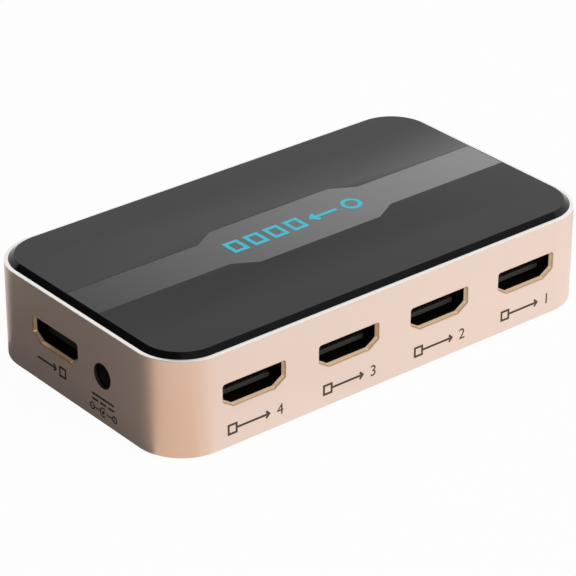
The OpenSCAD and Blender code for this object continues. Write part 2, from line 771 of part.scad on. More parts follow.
// Centre pin with a round tip, riveted through the jack's rear wall and its terminal
module jack_centre_pin() {
    color([0.8, 0.78, 0.7]) translate([jack_x, dc_y, dc_z]) rotate([0, 90, 0]) {
        translate([0, 0, pin_set + pin_r]) sphere(pin_r);
        translate([0, 0, pin_set + pin_r]) cylinder(h = jack_l + terminal_t - pin_set - pin_r, r = pin_r);
        translate([0, 0, jack_l + terminal_t]) cylinder(h = rivet_h, r = rivet_r);
    }
}

// Leaf above the bore that presses on a plug's sleeve
module jack_spring_leaf() {
    color([0.8, 0.78, 0.7]) translate([jack_x, dc_y, dc_z]) {
        low = [leaf_set, -leaf_w / 2, leaf_z];
        high = [leaf_set + leaf_l, leaf_w / 2, leaf_z + leaf_t];
        bump_z = jack_bore_r - leaf_dent;
        span(low, high);
        intersection() {
            translate([leaf_set + leaf_bump_r, -leaf_w / 2, bump_z + leaf_bump_r]) rotate([-90, 0, 0])
                cylinder(h = leaf_w, r = leaf_bump_r);
            span([leaf_set, -leaf_w / 2, bump_z], high);
        }
    }
}

// Terminal behind the jack that joins the centre pin to the board
module jack_pin_terminal() {
    color([0.8, 0.78, 0.7]) translate([jack_x + jack_l, dc_y, 0]) difference() {
        union() {
            span([0, -terminal_w / 2, board_top_z], [terminal_t, terminal_w / 2, dc_z + terminal_w / 2]);
            span([0, -terminal_w / 2, board_top_z],
                 [terminal_foot, terminal_w / 2, board_top_z + terminal_t]);
        }
        translate([-cut, 0, dc_z]) rotate([0, 90, 0])
            cylinder(h = terminal_t + 2 * cut, r = pin_r + pin_gap);
    }
}

// Terminal that runs from the leaf's root over the jack and down its rear to the board
module jack_sleeve_terminal() {
    side = terminal_w / 2 + terminal_t;
    lid_z = dc_z + jack_top;
    color([0.8, 0.78, 0.7]) translate([jack_x, dc_y, 0]) {
        span([leaf_set + leaf_l + 2 * root_gap, -leaf_w / 2, lid_z],
             [jack_l, jack_w / 2, lid_z + terminal_t]);
        span([jack_l, side, board_top_z], [jack_l + terminal_t, jack_w / 2, lid_z + terminal_t]);
        span([jack_l, side, board_top_z], [jack_l + terminal_foot, jack_w / 2, board_top_z + terminal_t]);
    }
}

// Parts on the board

// Body of the chip that copies the picture to every output
module splitter_chip() {
    color([0.08, 0.08, 0.08])
        standing_box([0, chip_y], [chip_w, chip_w, chip_t], board_top_z + chip_lift);
}

// Leads on the splitter chip's four sides
module splitter_chip_leads() {
    count = floor((chip_w - 2 * lead_margin) / lead_pitch);
    color([0.75, 0.75, 0.76]) translate([0, chip_y, board_top_z]) for (turn = [0:90:270])
        rotate(turn) translate([0, chip_w / 2, 0])
            lead_row(count, lead_pitch, chip_lift + chip_t / 2, lead_w);
}

// Soft pad between the chip and its heat sink
module thermal_pad() {
    color([0.6, 0.65, 0.75])
        standing_box([0, chip_y], [chip_w, chip_w, pad_t], board_top_z + chip_lift + chip_t);
}

// Finned heat sink on the splitter chip
module heat_sink() {
    fins = floor((sink_w - fin_t) / fin_pitch) + 1;
    color([0.7, 0.71, 0.73]) {
        standing_box([0, chip_y], [sink_w, sink_w, sink_base_t], sink_z);
        for (i = [0:fins - 1])
            standing_box([(i - (fins - 1) / 2) * fin_pitch, chip_y], [fin_t, sink_w, fin_h + sink_base_t],
                         sink_z);
    }
}

// Bodies of the control chip and its memory
module small_chips() {
    color([0.08, 0.08, 0.08]) for (p = small_chip_places)
        standing_box(p, [small_chip_l, small_chip_w, small_chip_t], board_top_z + chip_lift);
}

// Leads of the control chip and its memory
module small_chip_leads() {
    count = floor(small_chip_l / small_pitch) + 1;
    color([0.75, 0.75, 0.76]) for (p = small_chip_places, turn = [0, 180])
        translate([p[0], p[1], board_top_z]) rotate(turn) translate([0, small_chip_w / 2, 0])
            lead_row(count, small_pitch, chip_lift + small_chip_t / 2, lead_w);
}

// Bodies of the voltage regulators
module voltage_regulators() {
    color([0.08, 0.08, 0.08]) for (p = reg_places)
        standing_box(p, [reg_l, reg_w, reg_t], board_top_z + chip_lift);
}

// Leads and cooling tabs of the voltage regulators
module regulator_leads() {
    color([0.75, 0.75, 0.76]) for (p = reg_places) translate([p[0], p[1], board_top_z]) {
        rotate(180) translate([0, reg_w / 2, 0])
            lead_row(reg_leads, reg_pitch, chip_lift + reg_t / 2, reg_lead_w);
        translate([0, reg_w / 2, 0]) gull_lead(chip_lift + reg_t / 2, reg_tab_w);
    }
}

// Moulded power inductor with a round winding on a square base
module power_inductor() {
    color([0.2, 0.2, 0.2]) {
        standing_box(coil_place, [coil_w, coil_w, coil_base_h], board_top_z);
        standing_rod(coil_place, coil_r, board_top_z, coil_h);
    }
}

// Cans of the electrolytic capacitors
module capacitor_cans() {
    color([0.75, 0.76, 0.78]) for (p = can_places)
        standing_rod(p, can_r, board_top_z + can_base_h, can_h);
}

// Moulded bases under the capacitor cans
module capacitor_bases() {
    color([0.1, 0.1, 0.1]) for (p = can_places)
        standing_box(p, [can_base_w, can_base_w, can_base_h], board_top_z);
}

// Metal can of the timing crystal, with round ends
module crystal() {
    color([0.75, 0.75, 0.76]) {
        standing_box(crystal_place, [crystal_l - crystal_w, crystal_w, crystal_h], board_top_z);
        for (sx = [-1, 1])
            standing_rod(crystal_place + [sx * (crystal_l - crystal_w) / 2, 0], crystal_w / 2,
                         board_top_z, crystal_h);
    }
}

// Rows of small resistors and capacitors
module small_parts() {
    color([0.55, 0.45, 0.35]) for (row = chip_part_rows, i = [0:row[2] - 1])
        standing_box([row[0] + i * chip_part_pitch, row[1]], [chip_part_w, chip_part_l, chip_part_h],
                     board_top_z);
}

// Pairs of surge arresters on the signal lines behind each socket
module surge_arresters() {
    color([0.1, 0.1, 0.1]) for (k = [0:out_count], sx = [-1, 1]) at_socket(k)
        standing_box([sx * surge_u, lead_y + lead_foot + surge_set], [surge_l, surge_w, surge_h], 0);
}

case();
top_panel();
stripe_inlay();
panel_adhesive();
bottom_cover();
cover_screws();
rubber_feet();
circuit_board();
board_screws();
for (k = [0:out_count]) {
    socket_shell(k);
    socket_insulator(k);
    socket_contacts(k);
    socket_springs(k);
}
jack_body();
jack_centre_pin();
jack_spring_leaf();
jack_pin_terminal();
jack_sleeve_terminal();
splitter_chip();
splitter_chip_leads();
thermal_pad();
heat_sink();
small_chips();
small_chip_leads();
voltage_regulators();
regulator_leads();
power_inductor();
capacitor_cans();
capacitor_bases();
crystal();
small_parts();
surge_arresters();
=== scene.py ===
import math
import bmesh
import bpy
from mathutils import Matrix, Vector


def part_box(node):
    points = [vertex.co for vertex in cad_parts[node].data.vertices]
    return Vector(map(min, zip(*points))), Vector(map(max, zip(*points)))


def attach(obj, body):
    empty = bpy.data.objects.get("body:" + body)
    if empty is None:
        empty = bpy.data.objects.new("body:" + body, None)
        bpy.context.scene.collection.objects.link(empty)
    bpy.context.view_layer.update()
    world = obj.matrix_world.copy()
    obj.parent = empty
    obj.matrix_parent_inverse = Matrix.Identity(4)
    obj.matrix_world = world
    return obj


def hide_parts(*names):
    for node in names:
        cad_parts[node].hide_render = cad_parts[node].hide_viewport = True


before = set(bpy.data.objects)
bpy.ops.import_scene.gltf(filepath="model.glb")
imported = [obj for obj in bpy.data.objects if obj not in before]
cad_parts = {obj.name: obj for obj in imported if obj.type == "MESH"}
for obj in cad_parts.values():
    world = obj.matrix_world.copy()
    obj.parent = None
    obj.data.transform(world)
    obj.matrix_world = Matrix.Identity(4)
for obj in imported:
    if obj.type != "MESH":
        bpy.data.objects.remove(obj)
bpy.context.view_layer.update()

# Case: one shell of aluminium with its walls and deck in one piece, bead blasted and anodised
# rose. The rim is cut bright afterwards, and the walls are pierced for the sockets and the jack.
mm = 0.001
hair = 1e-7
crease_deg = 25
case_low, case_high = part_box("case")
corner_r = 10.15 * mm
corner_segments = 32
wall_t = 1.1 * mm
rim_chamfer = 0.1 * mm
rim_land = 0.7 * mm
pocket_depth = 1 * mm
deck_t = 1.2 * mm
foot_edge_r = 0.2 * mm
print_t = 0.03 * mm
shell_w = 14.65 * mm
shell_h = 5.2 * mm
shell_slope_w = 2.5 * mm
shell_slope_h = 1.6 * mm
shell_bend_r = 0.6 * mm
socket_gap = 0.08 * mm
dc_hole_r = 2.6 * mm
rose_deep = (0.875, 0.69, 0.595)
rose_pale = (0.915, 0.73, 0.635)
rose_metal_share = 0.75
blast_cells = 5200
blast_depth = 0.004 * mm
drift_cells = 45
rim_dull = (0.97, 0.93, 0.89)
rim_bright = (0.99, 0.97, 0.94)
rim_metal_share = 0.6
# Painted shade: the jack hole's cut wall is coloured near black where it would lie in shadow.
hole_shade_deep = (0.012, 0.010, 0.009)
hole_shade_soft = (0.022, 0.018, 0.016)


def start_finish(name):
    """A new node material: its nodes, its links and its surface shader."""
    material = bpy.data.materials.new(name)
    material.use_nodes = True
    nodes = material.node_tree.nodes
    return material, nodes, material.node_tree.links, nodes["Principled BSDF"]


def add_grain(nodes, links, cells, detail):
    """Noise through the piece's own coordinates, in cells per metre."""
    place = nodes.new("ShaderNodeTexCoord")
    noise = nodes.new("ShaderNodeTexNoise")
    noise.inputs["Scale"].default_value = cells
    noise.inputs["Detail"].default_value = detail
    links.new(place.outputs["Object"], noise.inputs["Vector"])
    return noise.outputs["Fac"]


def add_range(nodes, links, source, low, high, start=0.3, end=0.7):
    """The source spread from low to high between its start and end values."""
    spread = nodes.new("ShaderNodeMapRange")
    spread.inputs["From Min"].default_value = start
    spread.inputs["From Max"].default_value = end
    spread.inputs["To Min"].default_value = low
    spread.inputs["To Max"].default_value = high
    links.new(source, spread.inputs["Value"])
    return spread.outputs["Result"]


def add_mix(nodes, links, source, first, second):
    """A colour that runs from first to second with the source; each is a colour or a node's output."""
    mix = nodes.new("ShaderNodeMix")
    mix.data_type = "RGBA"
    links.new(source, mix.inputs["Factor"])
    for colour, place in ((first, mix.inputs["A"]), (second, mix.inputs["B"])):
        if isinstance(colour, tuple):
            place.default_value = (*colour, 1)
        else:
            links.new(colour, place)
    return mix.outputs["Result"]


def add_bump(nodes, links, source, shader, depth):
    """Relief of the source on the shader, depth in metres."""
    bump = nodes.new("ShaderNodeBump")
    bump.inputs["Strength"].default_value = 1
    bump.inputs["Distance"].default_value = depth
    links.new(source, bump.inputs["Height"])
    links.new(bump.outputs["Normal"], shader.inputs["Normal"])


def grained_finish(name, first, second, cells, detail, smooth, rough):
    """A finish whose colour and roughness follow one grain, with that grain last."""
    material, nodes, links, shader = start_finish(name)
    grain = add_grain(nodes, links, cells, detail)
    links.new(add_mix(nodes, links, grain, first, second), shader.inputs["Base Color"])
    links.new(add_range(nodes, links, grain, smooth, rough), shader.inputs["Roughness"])
    return material, nodes, links, shader, grain


def round_box(low, high, radius):
    """A box with round upright corners."""
    shape = bmesh.new()
    bmesh.ops.create_cube(shape, size=1)
    bmesh.ops.scale(shape, vec=high - low, verts=shape.verts)
    bmesh.ops.translate(shape, vec=(low + high) / 2, verts=shape.verts)
    uprights = [e for e in shape.edges if abs(e.verts[0].co.x - e.verts[1].co.x) < hair
                and abs(e.verts[0].co.y - e.verts[1].co.y) < hair]
    bmesh.ops.bevel(shape, geom=uprights, offset=radius, affect="EDGES", segments=corner_segments,
                    profile=0.5, material=-1)
    return shape


def end_face(shape, sign):
    """The level face nearest to the top (sign 1) or to the bottom (sign -1)."""
    level = [f for f in shape.faces if f.normal.z * sign > 0.99]
    return max(level, key=lambda f: f.calc_center_median().z * sign)


def sink_face(shape, face, inset, depth):
    """Sinks a level face's inner part along Z by depth, and gives the level ring left round it."""
    ring = bmesh.ops.inset_region(shape, faces=[face], thickness=inset, use_even_offset=True)["faces"]
    floor = bmesh.ops.extrude_discrete_faces(shape, faces=[face])["faces"]
    bmesh.ops.translate(shape, vec=(0, 0, depth), verts=floor[0].verts)
    return ring


def draw_out(shape, face, way):
    """Extrudes a face along a vector to a closed bar."""
    drawn = bmesh.ops.extrude_face_region(shape, geom=[face], use_keep_orig=True)["geom"]
    far_verts = [v for v in drawn if isinstance(v, bmesh.types.BMVert)]
    bmesh.ops.translate(shape, vec=way, verts=far_verts)


def socket_prism(place, turn, grow, near, far, narrow=0.0, reach=0.0):
    """A bar with a socket's outline, grown, between two depths, that may go on as a narrowing funnel."""
    shape = bmesh.new()
    lean = math.atan2(shell_slope_h, shell_slope_w)
    half = shell_w / 2
    low_bend = math.tan(lean / 2)
    side_bend = math.tan(math.pi / 4 - lean / 2)
    low_x = half - shell_slope_w + grow * low_bend
    side_z = shell_slope_h - grow * side_bend
    right_side = [(low_x, -grow), (half + grow, side_z), (half + grow, shell_h + grow)]
    outline = right_side + [(-x, z) for x, z in reversed(right_side)]
    front = shape.faces.new([shape.verts.new((x, near, z)) for x, z in outline])
    draw_out(shape, front, (0, far - near, 0))
    bend = shell_bend_r + grow
    for (_, z), share in zip(right_side, (low_bend, side_bend, 1)):
        edges = [e for e in shape.edges if abs(e.verts[0].co.y - e.verts[1].co.y) > (far - near) / 2
                 and abs(e.verts[0].co.z - z) < hair]
        bmesh.ops.bevel(shape, geom=edges, offset=bend * share, affect="EDGES", segments=6, profile=0.5,
                        material=-1)
    bmesh.ops.recalc_face_normals(shape, faces=shape.faces)
    if reach > 0:
        back = max(shape.faces, key=lambda f: f.calc_center_median().y)
        bmesh.ops.inset_region(shape, faces=[back], thickness=narrow, depth=reach, use_even_offset=True)
    turned = Matrix.Translation(place) @ Matrix.Rotation(turn, 4, "Z")
    bmesh.ops.transform(shape, matrix=turned, verts=shape.verts)
    return shape


def finish_mesh(shape, name, crease=crease_deg):
    """A piece from a bmesh, smooth across its curves and sharp at its corners."""
    bmesh.ops.recalc_face_normals(shape, faces=shape.faces)
    mesh = bpy.data.meshes.new(name)
    shape.to_mesh(mesh)
    shape.free()
    mesh.shade_smooth()
    mesh.set_sharp_from_angle(angle=math.radians(crease))
    piece = bpy.data.objects.new(name, mesh)
    bpy.context.scene.collection.objects.link(piece)
    return piece


def shown_mesh(piece):
    """A new mesh of a piece as its modifiers or its text make it."""
    bpy.context.view_layer.update()
    shown = piece.evaluated_get(bpy.context.evaluated_depsgraph_get())
    return bpy.data.meshes.new_from_object(shown)


def cut_away(piece, cutter):
    """Takes the cutter's space out of a piece and deletes the cutter."""
    cut = piece.modifiers.new("cut", "BOOLEAN")
    cut.object = cutter
    cut.operation = "DIFFERENCE"
    cut.solver = "EXACT"
    mesh = shown_mesh(piece)
    old = piece.data
    piece.modifiers.clear()
    piece.data = mesh
    bpy.data.meshes.remove(old)
    bpy.data.objects.remove(cutter)


def even_shading(piece):
    """Keeps flat faces flat next to their round edges."""
    weighted = piece.modifiers.new("even_shading", "WEIGHTED_NORMAL")
    weighted.keep_sharp = True


skin = Vector((print_t, print_t, 0))
case_shape = round_box(case_low + skin, case_high - skin, corner_r - print_t)
foot_edges = list(end_face(case_shape, -1).edges)
bmesh.ops.bevel(case_shape, geom=foot_edges, offset=foot_edge_r, affect="EDGES", segments=3,
                profile=0.5, material=-1)
rim_edges = list(end_face(case_shape, 1).edges)
rim_faces = bmesh.ops.bevel(case_shape, geom=rim_edges, offset=rim_chamfer, affect="EDGES", segments=1,
                            profile=0.5, material=-1)["faces"]
rim_faces += sink_face(case_shape, end_face(case_shape, 1), rim_land, -pocket_depth)
cavity_h = case_high.z - pocket_depth - deck_t - case_low.z
sink_face(case_shape, end_face(case_shape, -1), wall_t - foot_edge_r, cavity_h)
for face in rim_faces:
    face.material_index = 1
case_piece = finish_mesh(case_shape, "case_shell")

outputs = ["output_1", "output_2", "output_3", "output_4"]
sockets = outputs + ["input"]
board_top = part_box("circuit_board")[1].z
socket_places = {}
for name in outputs:
    low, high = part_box(name + "_insulator")
    socket_places[name] = (Vector(((low.x + high.x) / 2, case_low.y, board_top)), 0)
low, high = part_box("input_insulator")
input_y = (low.y + high.y) / 2
socket_places["input"] = (Vector((case_low.x, input_y, board_top)), -math.pi / 2)
for place, turn in socket_places.values():
    port_shape = socket_prism(place, turn, socket_gap, -wall_t, 2 * wall_t)
    cut_away(case_piece, finish_mesh(port_shape, "port_cutter"))
pin_low, pin_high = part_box("jack_centre_pin")
jack_axis = (pin_low + pin_high) / 2
hole_place = Matrix.Translation((case_low.x + wall_t / 2, jack_axis.y, jack_axis.z))
hole_shape = bmesh.new()
bmesh.ops.create_cone(hole_shape, cap_ends=True, segments=64, radius1=dc_hole_r, radius2=dc_hole_r,
                      depth=3 * wall_t, matrix=hole_place @ Matrix.Rotation(math.pi / 2, 4, "Y"))
cut_away(case_piece, finish_mesh(hole_shape, "hole_cutter"))
# The faces of the jack hole's cut wall take the painted shade finish.
for face in case_piece.data.polygons:
    across = math.hypot(face.center.y - jack_axis.y, face.center.z - jack_axis.z)
    if face.center.x < case_low.x + wall_t and across < dc_hole_r + print_t:
        face.material_index = 2
even_shading(case_piece)

rose, nodes, links, shader = start_finish("rose_blasted_aluminium")
blast = add_grain(nodes, links, blast_cells, detail=2)
drift = add_grain(nodes, links, drift_cells, detail=3)
links.new(add_mix(nodes, links, drift, rose_deep, rose_pale), shader.inputs["Base Color"])
links.new(add_range(nodes, links, blast, low=0.40, high=0.50), shader.inputs["Roughness"])
add_bump(nodes, links, blast, shader, blast_depth)
shader.inputs["Metallic"].default_value = rose_metal_share
bright, _, _, shader, _ = grained_finish("bright_cut_rim", rim_dull, rim_bright, cells=2400, detail=1,
                                         smooth=0.14, rough=0.22)
shader.inputs["Metallic"].default_value = rim_metal_share
# Painted shade for the jack hole's wall: two near-black tones on a grain.
hole_shade_finish = grained_finish("painted_shade_hole", hole_shade_deep, hole_shade_soft, cells=1500, detail=2, smooth=0.5,
                           rough=0.7)[0]
for finish in (rose, bright, hole_shade_finish):
    case_piece.data.materials.append(finish)
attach(case_piece, "root")
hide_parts("case")

# Video sockets: gold-plated sheet shells round a moulded black tongue with two rows of gold
# contacts. Each shell's mouth is flared, and the springs in its top are cut from the same sheet.
lip_depth = 0.75 * mm
lip_run = 0.31 * mm
lip_edge = 0.03 * mm
reflection_start = 0.12 * mm
reflection_end = 0.24 * mm
dark_run = 0.1 * mm
merge_gap = 0.001 * mm
# Painted reflection: the ruddy band along each mouth's edge. Painted shade: the shell's inside behind the lip
# is coloured black where the deep socket lies in shadow.
edge_reflection = (0.75, 0.42, 0.19)
lip_gold = (0.97, 0.75, 0.53)
inside_shade = (0.004, 0.0035, 0.003)
lip_gloss = 0.15
output_metal_share = 0.2
# Painted shade: the input's gold is a shaded copy of the outputs' gold, more metallic so that it mirrors the
# dark side cards and reads darker.
input_metal_share = 0.6
mould_depth = 0.003 * mm
mould_spread = 0.06
plate_spread = 0.05


def add_ramp(nodes, links, axis, start, end):
    """0 before a place on an axis of the piece, rising to 1 at another place."""
    place = nodes.new("ShaderNodeTexCoord")
    split = nodes.new("ShaderNodeSeparateXYZ")
    links.new(place.outputs["Object"], split.inputs["Vector"])
    return add_range(nodes, links, split.outputs[axis], 0, 1, start, end)


def shell_gold(name, axis, mouth, metal_share):
    """Gold plate with a painted reflection as a ruddy band along the mouth's edge, and painted shade as
    black, not metallic, behind the lip.
    """
    material, nodes, links, shader = start_finish(name)
    wear = add_grain(nodes, links, cells=1800, detail=2)
    # Painted reflection at the mouth's edge, fading to plain gold; painted shade from behind the lip inward.
    reflection_fade = add_ramp(nodes, links, axis, mouth + reflection_start, mouth + reflection_end)
    inside = add_ramp(nodes, links, axis, mouth + lip_depth, mouth + lip_depth + dark_run)
    lip = add_mix(nodes, links, reflection_fade, edge_reflection, lip_gold)
    links.new(add_mix(nodes, links, inside, lip, inside_shade), shader.inputs["Base Color"])
    metal = add_range(nodes, links, inside, low=metal_share, high=0, start=0, end=1)
    links.new(metal, shader.inputs["Metallic"])
    links.new(add_range(nodes, links, wear, low=0.20, high=0.28), shader.inputs["Roughness"])
    shader.inputs["Specular IOR Level"].default_value = lip_gloss
    return material


def flare_mouth(name, place, turn, material):
    """A copy of a CAD shell with its mouth cut to a funnel."""
    shape = bmesh.new()
    shape.from_mesh(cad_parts[name + "_shell"].data)
    bmesh.ops.remove_doubles(shape, verts=shape.verts, dist=merge_gap)
    piece = finish_mesh(shape, name + "_mouth")
    funnel = socket_prism(place, turn, -lip_edge, -lip_depth, 0, lip_run, lip_depth)
    cut_away(piece, finish_mesh(funnel, "funnel_cutter"))
    piece.data.set_sharp_from_angle(angle=math.radians(crease_deg))
    even_shading(piece)
    piece.data.materials.clear()
    piece.data.materials.append(material)
    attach(piece, "root")
    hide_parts(name + "_shell")


def moulded(name, first, second, roughness, cells=2600):
    """Moulded plastic: two near tones and a fine eroded texture."""
    material, nodes, links, shader, grain = grained_finish(
        name, first, second, cells, detail=2, smooth=roughness - mould_spread, rough=roughness + mould_spread)
    add_bump(nodes, links, grain, shader, mould_depth)
    return material


def plated(name, first, second, roughness, cells=900):
    """Plated or plain metal with faint handling marks."""
    material, _, _, shader, _ = grained_finish(
        name, first, second, cells, detail=3, smooth=roughness - plate_spread, rough=roughness + plate_spread)
    shader.inputs["Metallic"].default_value = 1
    return material


def dress(material, *names):
    """Gives CAD nodes a finish."""
    for name in names:
        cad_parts[name].data.materials.clear()
        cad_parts[name].data.materials.append(material)


output_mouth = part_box("output_1_shell")[0].y
input_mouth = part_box("input_shell")[0].x
mouth_set = {name: output_mouth - case_low.y for name in outputs}
mouth_set["input"] = input_mouth - case_low.x
output_gold = shell_gold("output_gold", "Y", output_mouth, output_metal_share)
# The input's copy of the gold is the shaded one.
input_gold = shell_gold("input_gold", "X", input_mouth, input_metal_share)
tongue_black = moulded("tongue_black", (0.010, 0.010, 0.0105), (0.018, 0.018, 0.0185), roughness=0.5)
contact_gold = plated("contact_gold", (0.10, 0.09, 0.075), (0.15, 0.13, 0.105), roughness=0.4)
for name in sockets:
    gold = input_gold if name == "input" else output_gold
    place, turn = socket_places[name]
    set_back = Matrix.Rotation(turn, 3, "Z") @ Vector((0, mouth_set[name], 0))
    flare_mouth(name, place + set_back, turn, gold)
    dress(gold, name + "_springs")
    dress(tongue_black, name + "_insulator")
    dress(contact_gold, name + "_contacts")

# Power jack: a moulded black body with a nickel-plated pin, spring leaf and terminals, soldered
# to the board behind the round hole in the case's end.
jack_black = moulded("jack_black", (0.012, 0.012, 0.012), (0.022, 0.021, 0.02), roughness=0.45)
nickel = plated("nickel_plate", (0.62, 0.60, 0.55), (0.72, 0.70, 0.64), roughness=0.28)
dress(jack_black, "jack_body")
dress(nickel, "jack_centre_pin", "jack_spring_leaf", "jack_pin_terminal", "jack_sleeve_terminal")

# Circuit board: glass-epoxy laminate with green solder mask over copper tracks, held up to the
# case's posts by pan-head screws. Chips, power parts and small parts are soldered on top.
mask_dark = (0.012, 0.085, 0.04)
mask_light = (0.02, 0.15, 0.065)
track_cells = 420
track_t = 0.02 * mm
board_green, nodes, links, shader = start_finish("board_green")
tracks = add_grain(nodes, links, track_cells, detail=4)
lines = add_range(nodes, links, tracks, low=0, high=1, start=0.47, end=0.53)
links.new(add_mix(nodes, links, lines, mask_dark, mask_light), shader.inputs["Base Color"])
links.new(add_range(nodes, links, tracks, low=0.28, high=0.4), shader.inputs["Roughness"])
add_bump(nodes, links, lines, shader, track_t)
dress(board_green, "circuit_board")
zinc = plated("zinc_plate", (0.55, 0.56, 0.57), (0.66, 0.66, 0.66), roughness=0.32)
dress(zinc, "board_screws", "cover_screws", "crystal")
chip_black = moulded("chip_black", (0.014, 0.014, 0.015), (0.026, 0.026, 0.027), roughness=0.5, cells=3400)
dress(chip_black, "splitter_chip", "small_chips", "voltage_regulators", "surge_arresters")
tin = plated("tinned_leads", (0.62, 0.62, 0.61), (0.74, 0.74, 0.73), roughness=0.34)
dress(tin, "splitter_chip_leads", "small_chip_leads", "regulator_leads")
pad_grey = moulded("thermal_pad_grey", (0.30, 0.34, 0.40), (0.36, 0.40, 0.46), roughness=0.75, cells=1500)
dress(pad_grey, "thermal_pad")
aluminium = plated("plain_aluminium", (0.66, 0.67, 0.68), (0.76, 0.77, 0.78), roughness=0.36, cells=1500)
dress(aluminium, "heat_sink", "capacitor_cans")
ferrite = moulded("ferrite_grey", (0.05, 0.05, 0.052), (0.08, 0.08, 0.08), roughness=0.6, cells=1800)
dress(ferrite, "power_inductor")
dress(jack_black, "capacitor_bases")
ceramic = moulded("ceramic_tan", (0.30, 0.21, 0.13), (0.40, 0.29, 0.19), roughness=0.45, cells=1600)
dress(ceramic, "small_parts")

# Bottom cover: a plate with a lip inside the walls, powder coated black, held by countersunk
# screws. Four stick-on rubber feet sit in its recesses.
powder_black = moulded("powder_coat_black", (0.020, 0.020, 0.021), (0.034, 0.034, 0.035), roughness=0.55,
                       cells=1400)
dress(powder_black, "bottom_cover")
foot_rubber = moulded("foot_rubber", (0.014, 0.014, 0.014), (0.024, 0.024, 0.024), roughness=0.8, cells=1800)
dress(foot_rubber, "rubber_feet")

# Top panel: a plate of polished near-black acrylic with a bevel round its edge, stuck into the
# case's pocket on an adhesive sheet. A recess across it takes the stripe.
panel_low, panel_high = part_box("top_panel")
panel_r = 9.3 * mm
panel_crease_deg = 12
bevel_run = 1.15 * mm
bevel_rise = 0.95 * mm
stripe_gap = 0.03 * mm
stripe_t = 0.15 * mm
stripe_end_w = 10 * mm
stripe_mid_w = 15.8 * mm
stripe_mid_l = 29.8 * mm
stripe_step_l = 5.2 * mm
stripe_mid_x = 0.3 * mm
stripe_low, stripe_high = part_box("stripe_inlay")
panel_dark = (0.004, 0.004, 0.0042)
panel_light = (0.006, 0.006, 0.0063)
panel_ior = 1.3


def stripe_bar(low_z, high_z, gap):
    """The stripe's outline, grown by a gap, as a flat bar."""
    shape = bmesh.new()
    reach = stripe_high.x + gap
    right_x = stripe_mid_x + stripe_mid_l / 2
    left_x = stripe_mid_x - stripe_mid_l / 2
    steps = [(reach, stripe_end_w), (right_x + stripe_step_l, stripe_end_w), (right_x, stripe_mid_w),
             (left_x, stripe_mid_w), (left_x - stripe_step_l, stripe_end_w), (-reach, stripe_end_w)]
    rear = [shape.verts.new((x, w / 2 + gap, low_z)) for x, w in steps]
    front = [shape.verts.new((x, -w / 2 - gap, low_z)) for x, w in reversed(steps)]
    draw_out(shape, shape.faces.new(rear + front), (0, 0, high_z - low_z))
    return shape


rim_level = Vector((panel_high.x, panel_high.y, case_high.z))
panel_shape = round_box(panel_low, rim_level, panel_r)
bmesh.ops.inset_region(panel_shape, faces=[end_face(panel_shape, 1)], thickness=bevel_run, depth=bevel_rise,
                       use_even_offset=True)
panel_piece = finish_mesh(panel_shape, "panel_plate", panel_crease_deg)
recess = stripe_bar(panel_high.z - stripe_t, panel_high.z + mm, stripe_gap)
cut_away(panel_piece, finish_mesh(recess, "recess_cutter"))
even_shading(panel_piece)
panel_black, _, _, shader, _ = grained_finish("polished_black_acrylic", panel_dark, panel_light, cells=700,
                                              detail=4, smooth=0.10, rough=0.16)
shader.inputs["IOR"].default_value = panel_ior
panel_piece.data.materials.append(panel_black)
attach(panel_piece, "root")
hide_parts("top_panel")
adhesive = moulded("adhesive_sheet", (0.62, 0.61, 0.56), (0.70, 0.69, 0.64), roughness=0.6, cells=500)
dress(adhesive, "panel_adhesive")

# Stripe: grey metallised foil laid in the panel's recess, whose colour carries painted light: darker at the
# end with the power jack and brighter at the far end, for the brighter surround it reflects on the right.
# It is broad in the middle and steps down to narrow ends.
stripe_top = panel_high.z - print_t
foil_grow = 0.8 * stripe_gap
foil_cells = 3000
foil_metal_share = 0.6
foil_ior = 1.33
stripe_piece = finish_mesh(stripe_bar(panel_high.z - stripe_t, stripe_top, foil_grow), "stripe_foil")
foil, nodes, links, shader = start_finish("grey_foil")
flakes = add_grain(nodes, links, foil_cells, detail=2)
# Painted light: a sweep along X from a shaded tone at the jack end to a lit tone at the far end.
painted_light_sweep = add_ramp(nodes, links, "X", stripe_low.x, stripe_high.x)
shaded_end_tone = add_mix(nodes, links, flakes, (0.05, 0.05, 0.051), (0.06, 0.06, 0.061))
lit_end_tone = add_mix(nodes, links, flakes, (0.25, 0.25, 0.252), (0.29, 0.29, 0.292))
links.new(add_mix(nodes, links, painted_light_sweep, shaded_end_tone, lit_end_tone), shader.inputs["Base Color"])
links.new(add_range(nodes, links, flakes, low=0.30, high=0.38), shader.inputs["Roughness"])
shader.inputs["Metallic"].default_value = foil_metal_share
shader.inputs["IOR"].default_value = foil_ior
stripe_piece.data.materials.append(foil)
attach(stripe_piece, "root")
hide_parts("stripe_inlay")

# Printing: dark brown marks screen printed under each port, a frame, an arrow and a numeral for
# each output, an arrow and a frame for the input and the usual signs for direct current and its
# polarity.
mark_h = 2.3 * mm
mark_stroke = 0.45 * mm
mark_head = 0.9 * mm
fine_stroke = 0.29 * mm
numeral_share = 0.7
ring_steps = 32


def ink_patch(shape, corners):
    """A flat printed patch with this outline."""
    face = shape.faces.new([shape.verts.new((u, v, 0)) for u, v in corners])
    draw_out(shape, face, (0, 0, print_t))


def ink_bar(shape, u, v, width, height):
    """A straight printed stroke centred on (u, v)."""
    right, top = width / 2, height / 2
    ink_patch(shape, [(u + right, v + top), (u - right, v + top), (u - right, v - top),
                      (u + right, v - top)])


